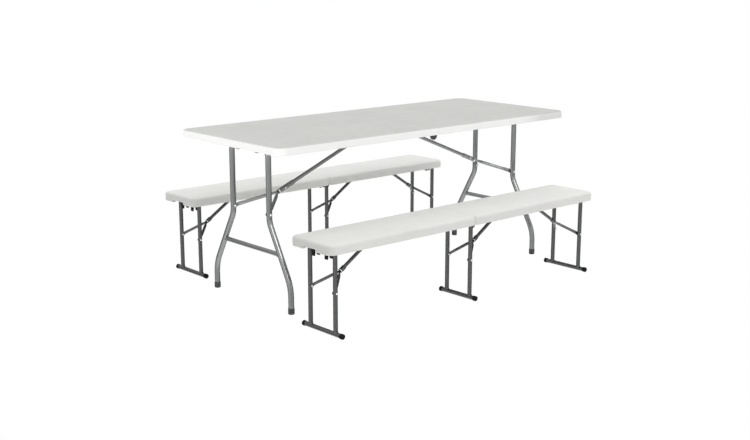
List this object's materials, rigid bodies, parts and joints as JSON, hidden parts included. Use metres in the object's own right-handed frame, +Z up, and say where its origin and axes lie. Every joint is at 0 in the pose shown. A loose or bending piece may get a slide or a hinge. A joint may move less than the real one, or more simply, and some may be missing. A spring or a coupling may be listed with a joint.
{
  "type": "folding picnic table with benches",
  "caption": "Folding picnic table with a white moulded top in halves, splayed tube legs with knee braces, and matching folding benches on either side.",
  "frame": {"origin": "on the ground under the middle of the table", "axes": "+X along the table, +Y across it towards the far bench, +Z up"},
  "size_m": [1.8, 1.382, 0.74],
  "materials": {
    "white_moulded_plastic": "fine pebbled grain, satin",
    "table_grey_powder_coat": "smooth satin powder coat",
    "bench_grey_powder_coat": "smooth satin powder coat",
    "zinc_plated_steel": "bright zinc plate",
    "dark_painted_steel": "satin black paint",
    "dark_grey_rubber": "ribbed matt",
    "black_plastic": "moulded matt"
  },
  "bodies": {
    "table_left_half": {"table_top_left": "white_moulded_plastic", "table_hinge_left": "dark_painted_steel", "table_brackets_left": "dark_painted_steel"},
    "table_right_half": {"table_top_right": "white_moulded_plastic", "table_hinge_right": "dark_painted_steel", "table_brackets_right": "dark_painted_steel"},
    "table_left_leg": {"table_leg_left": "table_grey_powder_coat", "table_foot_caps_left": "dark_grey_rubber"},
    "table_left_yoke": {"table_left_yoke": "table_grey_powder_coat"},
    "table_left_strut": {"table_left_strut": "table_grey_powder_coat"},
    "table_left_collar": {"table_left_collar": "zinc_plated_steel"},
    "table_right_leg": {"table_leg_right": "table_grey_powder_coat", "table_foot_caps_right": "dark_grey_rubber"},
    "table_right_yoke": {"table_right_yoke": "table_grey_powder_coat"},
    "table_right_strut": {"table_right_strut": "table_grey_powder_coat"},
    "table_right_collar": {"table_right_collar": "zinc_plated_steel"},
    "near_bench_left_half": {"near_bench_seat_left": "white_moulded_plastic", "near_bench_hinge_left": "dark_painted_steel", "near_bench_brackets_left": "black_plastic"},
    "near_bench_right_half": {"near_bench_seat_right": "white_moulded_plastic", "near_bench_hinge_right": "dark_painted_steel", "near_bench_brackets_right": "black_plastic"},
    "near_bench_left_leg": {"near_bench_leg_left": "bench_grey_powder_coat", "near_bench_foot_caps_left": "black_plastic"},
    "near_bench_left_yoke": {"near_bench_left_yoke": "bench_grey_powder_coat"},
    "near_bench_left_strut": {"near_bench_left_strut": "bench_grey_powder_coat"},
    "near_bench_left_collar": {"near_bench_left_collar": "black_plastic"},
    "near_bench_middle_leg": {"near_bench_leg_middle": "bench_grey_powder_coat", "near_bench_foot_caps_middle": "black_plastic"},
    "near_bench_middle_yoke": {"near_bench_middle_yoke": "bench_grey_powder_coat"},
    "near_bench_middle_strut": {"near_bench_middle_strut": "bench_grey_powder_coat"},
    "near_bench_middle_collar": {"near_bench_middle_collar": "black_plastic"},
    "near_bench_right_leg": {"near_bench_leg_right": "bench_grey_powder_coat", "near_bench_foot_caps_right": "black_plastic"},
    "near_bench_right_yoke": {"near_bench_right_yoke": "bench_grey_powder_coat"},
    "near_bench_right_strut": {"near_bench_right_strut": "bench_grey_powder_coat"},
    "near_bench_right_collar": {"near_bench_right_collar": "black_plastic"},
    "far_bench_left_half": {"far_bench_seat_left": "white_moulded_plastic", "far_bench_hinge_left": "dark_painted_steel", "far_bench_brackets_left": "black_plastic"},
    "far_bench_right_half": {"far_bench_seat_right": "white_moulded_plastic", "far_bench_hinge_right": "dark_painted_steel", "far_bench_brackets_right": "black_plastic"},
    "far_bench_left_leg": {"far_bench_leg_left": "bench_grey_powder_coat", "far_bench_foot_caps_left": "black_plastic"},
    "far_bench_left_yoke": {"far_bench_left_yoke": "bench_grey_powder_coat"},
    "far_bench_left_strut": {"far_bench_left_strut": "bench_grey_powder_coat"},
    "far_bench_left_collar": {"far_bench_left_collar": "black_plastic"},
    "far_bench_middle_leg": {"far_bench_leg_middle": "bench_grey_powder_coat", "far_bench_foot_caps_middle": "black_plastic"},
    "far_bench_middle_yoke": {"far_bench_middle_yoke": "bench_grey_powder_coat"},
    "far_bench_middle_strut": {"far_bench_middle_strut": "bench_grey_powder_coat"},
    "far_bench_middle_collar": {"far_bench_middle_collar": "black_plastic"},
    "far_bench_right_leg": {"far_bench_leg_right": "bench_grey_powder_coat", "far_bench_foot_caps_right": "black_plastic"},
    "far_bench_right_yoke": {"far_bench_right_yoke": "bench_grey_powder_coat"},
    "far_bench_right_strut": {"far_bench_right_strut": "bench_grey_powder_coat"},
    "far_bench_right_collar": {"far_bench_right_collar": "black_plastic"}
  },
  "joints": [
    {"name": "table_fold", "type": "hinge", "parent": "table_left_half", "child": "table_right_half", "pos_m": [0, 0, 0.7], "axis": [0, 1, 0], "range_deg": [0, 90]},
    {"name": "table_left_leg_fold", "type": "hinge", "parent": "table_left_half", "child": "table_left_leg", "pos_m": [-0.78, 0, 0.688], "axis": [0, -1, 0], "range_deg": [0, 90]},
    {"name": "table_left_strut_turn", "type": "hinge", "parent": "table_left_half", "child": "table_left_strut", "pos_m": [-0.055, 0, 0.708], "axis": [0, 1, 0], "range_deg": [0, 22.22]},
    {"name": "table_left_knee_turn", "type": "hinge", "parent": "table_left_strut", "child": "table_left_yoke", "pos_m": [-0.62479, 0, 0.47537], "axis": [0, -1, 0], "range_deg": [0, 173.16]},
    {"name": "table_left_collar_slide", "type": "slide", "parent": "table_left_strut", "child": "table_left_collar", "axis": [0.9258, 0, 0.378], "range_m": [0, 0.08801]},
    {"name": "table_right_leg_fold", "type": "hinge", "parent": "table_right_half", "child": "table_right_leg", "pos_m": [0.78, 0, 0.688], "axis": [0, 1, 0], "range_deg": [0, 90]},
    {"name": "table_right_strut_turn", "type": "hinge", "parent": "table_right_half", "child": "table_right_strut", "pos_m": [0.055, 0, 0.708], "axis": [0, -1, 0], "range_deg": [0, 22.22]},
    {"name": "table_right_knee_turn", "type": "hinge", "parent": "table_right_strut", "child": "table_right_yoke", "pos_m": [0.62479, 0, 0.47537], "axis": [0, 1, 0], "range_deg": [0, 173.16]},
    {"name": "table_right_collar_slide", "type": "slide", "parent": "table_right_strut", "child": "table_right_collar", "axis": [-0.9258, 0, 0.378], "range_m": [0, 0.08801]},
    {"name": "near_bench_pull_out", "type": "slide", "parent": "table_left_half", "child": "near_bench_left_half", "axis": [0, -1, 0], "range_m": [0, 0.3]},
    {"name": "near_bench_fold", "type": "hinge", "parent": "near_bench_left_half", "child": "near_bench_right_half", "pos_m": [-0.08, -0.56, 0.353], "axis": [0, 1, 0], "range_deg": [0, 90]},
    {"name": "near_bench_left_leg_fold", "type": "hinge", "parent": "near_bench_left_half", "child": "near_bench_left_leg", "pos_m": [-0.834, -0.56, 0.36], "axis": [0, -1, 0], "range_deg": [0, 86.5]},
    {"name": "near_bench_left_strut_turn", "type": "hinge", "parent": "near_bench_left_half", "child": "near_bench_left_strut", "pos_m": [-0.561, -0.56, 0.36], "axis": [0, 1, 0], "range_deg": [0, 33.12]},
    {"name": "near_bench_left_knee_turn", "type": "hinge", "parent": "near_bench_left_strut", "child": "near_bench_left_yoke", "pos_m": [-0.73721, -0.56, 0.24511], "axis": [0, -1, 0], "range_deg": [0, 174.61]},
    {"name": "near_bench_left_collar_slide", "type": "slide", "parent": "near_bench_left_strut", "child": "near_bench_left_collar", "axis": [0.8377, 0, 0.5462], "range_m": [0, 0.04501]},
    {"name": "near_bench_middle_leg_fold", "type": "hinge", "parent": "near_bench_right_half", "child": "near_bench_middle_leg", "pos_m": [-0.05, -0.56, 0.36], "axis": [0, -1, 0], "range_deg": [0, 86.5]},
    {"name": "near_bench_middle_strut_turn", "type": "hinge", "parent": "near_bench_right_half", "child": "near_bench_middle_strut", "pos_m": [0.223, -0.56, 0.36], "axis": [0, 1, 0], "range_deg": [0, 33.12]},
    {"name": "near_bench_middle_knee_turn", "type": "hinge", "parent": "near_bench_middle_strut", "child": "near_bench_middle_yoke", "pos_m": [0.04679, -0.56, 0.24511], "axis": [0, -1, 0], "range_deg": [0, 174.61]},
    {"name": "near_bench_middle_collar_slide", "type": "slide", "parent": "near_bench_middle_strut", "child": "near_bench_middle_collar", "axis": [0.8377, 0, 0.5462], "range_m": [0, 0.04501]},
    {"name": "near_bench_right_leg_fold", "type": "hinge", "parent": "near_bench_right_half", "child": "near_bench_right_leg", "pos_m": [0.704, -0.56, 0.36], "axis": [0, 1, 0], "range_deg": [0, 86.5]},
    {"name": "near_bench_right_strut_turn", "type": "hinge", "parent": "near_bench_right_half", "child": "near_bench_right_strut", "pos_m": [0.431, -0.56, 0.36], "axis": [0, -1, 0], "range_deg": [0, 33.12]},
    {"name": "near_bench_right_knee_turn", "type": "hinge", "parent": "near_bench_right_strut", "child": "near_bench_right_yoke", "pos_m": [0.60721, -0.56, 0.24511], "axis": [0, 1, 0], "range_deg": [0, 174.61]},
    {"name": "near_bench_right_collar_slide", "type": "slide", "parent": "near_bench_right_strut", "child": "near_bench_right_collar", "axis": [-0.8377, 0, 0.5462], "range_m": [0, 0.04501]},
    {"name": "far_bench_pull_out", "type": "slide", "parent": "table_left_half", "child": "far_bench_left_half", "axis": [0, 1, 0], "range_m": [0, 0.3]},
    {"name": "far_bench_fold", "type": "hinge", "parent": "far_bench_left_half", "child": "far_bench_right_half", "pos_m": [0.016, 0.56, 0.353], "axis": [0, 1, 0], "range_deg": [0, 90]},
    {"name": "far_bench_left_leg_fold", "type": "hinge", "parent": "far_bench_left_half", "child": "far_bench_left_leg", "pos_m": [-0.738, 0.56, 0.36], "axis": [0, -1, 0], "range_deg": [0, 86.5]},
    {"name": "far_bench_left_strut_turn", "type": "hinge", "parent": "far_bench_left_half", "child": "far_bench_left_strut", "pos_m": [-0.465, 0.56, 0.36], "axis": [0, 1, 0], "range_deg": [0, 33.12]},
    {"name": "far_bench_left_knee_turn", "type": "hinge", "parent": "far_bench_left_strut", "child": "far_bench_left_yoke", "pos_m": [-0.64121, 0.56, 0.24511], "axis": [0, -1, 0], "range_deg": [0, 174.61]},
    {"name": "far_bench_left_collar_slide", "type": "slide", "parent": "far_bench_left_strut", "child": "far_bench_left_collar", "axis": [0.8377, 0, 0.5462], "range_m": [0, 0.04501]},
    {"name": "far_bench_middle_leg_fold", "type": "hinge", "parent": "far_bench_right_half", "child": "far_bench_middle_leg", "pos_m": [0.046, 0.56, 0.36], "axis": [0, -1, 0], "range_deg": [0, 86.5]},
    {"name": "far_bench_middle_strut_turn", "type": "hinge", "parent": "far_bench_right_half", "child": "far_bench_middle_strut", "pos_m": [0.319, 0.56, 0.36], "axis": [0, 1, 0], "range_deg": [0, 33.12]},
    {"name": "far_bench_middle_knee_turn", "type": "hinge", "parent": "far_bench_middle_strut", "child": "far_bench_middle_yoke", "pos_m": [0.14279, 0.56, 0.24511], "axis": [0, -1, 0], "range_deg": [0, 174.61]},
    {"name": "far_bench_middle_collar_slide", "type": "slide", "parent": "far_bench_middle_strut", "child": "far_bench_middle_collar", "axis": [0.8377, 0, 0.5462], "range_m": [0, 0.04501]},
    {"name": "far_bench_right_leg_fold", "type": "hinge", "parent": "far_bench_right_half", "child": "far_bench_right_leg", "pos_m": [0.8, 0.56, 0.36], "axis": [0, 1, 0], "range_deg": [0, 86.5]},
    {"name": "far_bench_right_strut_turn", "type": "hinge", "parent": "far_bench_right_half", "child": "far_bench_right_strut", "pos_m": [0.527, 0.56, 0.36], "axis": [0, -1, 0], "range_deg": [0, 33.12]},
    {"name": "far_bench_right_knee_turn", "type": "hinge", "parent": "far_bench_right_strut", "child": "far_bench_right_yoke", "pos_m": [0.70321, 0.56, 0.24511], "axis": [0, 1, 0], "range_deg": [0, 174.61]},
    {"name": "far_bench_right_collar_slide", "type": "slide", "parent": "far_bench_right_strut", "child": "far_bench_right_collar", "axis": [-0.8377, 0, 0.5462], "range_m": [0, 0.04501]}
  ],
  "couplings": [
    {"joint": "table_left_strut_turn", "follows": "table_left_leg_fold", "ratio": 0.24677},
    {"joint": "table_left_knee_turn", "follows": "table_left_leg_fold", "ratio": 1.9239},
    {"joint": "table_left_collar_slide", "follows": "table_left_leg_fold", "m_per_rad": 0.056023},
    {"joint": "table_right_strut_turn", "follows": "table_right_leg_fold", "ratio": 0.24677},
    {"joint": "table_right_knee_turn", "follows": "table_right_leg_fold", "ratio": 1.9239},
    {"joint": "table_right_collar_slide", "follows": "table_right_leg_fold", "m_per_rad": 0.056023},
    {"joint": "near_bench_left_strut_turn", "follows": "near_bench_left_leg_fold", "ratio": 0.38272},
    {"joint": "near_bench_left_knee_turn", "follows": "near_bench_left_leg_fold", "ratio": 2.0185},
    {"joint": "near_bench_left_collar_slide", "follows": "near_bench_left_leg_fold", "m_per_rad": 0.029807},
    {"joint": "near_bench_middle_strut_turn", "follows": "near_bench_middle_leg_fold", "ratio": 0.38272},
    {"joint": "near_bench_middle_knee_turn", "follows": "near_bench_middle_leg_fold", "ratio": 2.0185},
    {"joint": "near_bench_middle_collar_slide", "follows": "near_bench_middle_leg_fold", "m_per_rad": 0.029807},
    {"joint": "near_bench_right_strut_turn", "follows": "near_bench_right_leg_fold", "ratio": 0.38272},
    {"joint": "near_bench_right_knee_turn", "follows": "near_bench_right_leg_fold", "ratio": 2.0185},
    {"joint": "near_bench_right_collar_slide", "follows": "near_bench_right_leg_fold", "m_per_rad": 0.029807},
    {"joint": "far_bench_left_strut_turn", "follows": "far_bench_left_leg_fold", "ratio": 0.38272},
    {"joint": "far_bench_left_knee_turn", "follows": "far_bench_left_leg_fold", "ratio": 2.0185},
    {"joint": "far_bench_left_collar_slide", "follows": "far_bench_left_leg_fold", "m_per_rad": 0.029807},
    {"joint": "far_bench_middle_strut_turn", "follows": "far_bench_middle_leg_fold", "ratio": 0.38272},
    {"joint": "far_bench_middle_knee_turn", "follows": "far_bench_middle_leg_fold", "ratio": 2.0185},
    {"joint": "far_bench_middle_collar_slide", "follows": "far_bench_middle_leg_fold", "m_per_rad": 0.029807},
    {"joint": "far_bench_right_strut_turn", "follows": "far_bench_right_leg_fold", "ratio": 0.38272},
    {"joint": "far_bench_right_knee_turn", "follows": "far_bench_right_leg_fold", "ratio": 2.0185},
    {"joint": "far_bench_right_collar_slide", "follows": "far_bench_right_leg_fold", "m_per_rad": 0.029807}
  ]
}
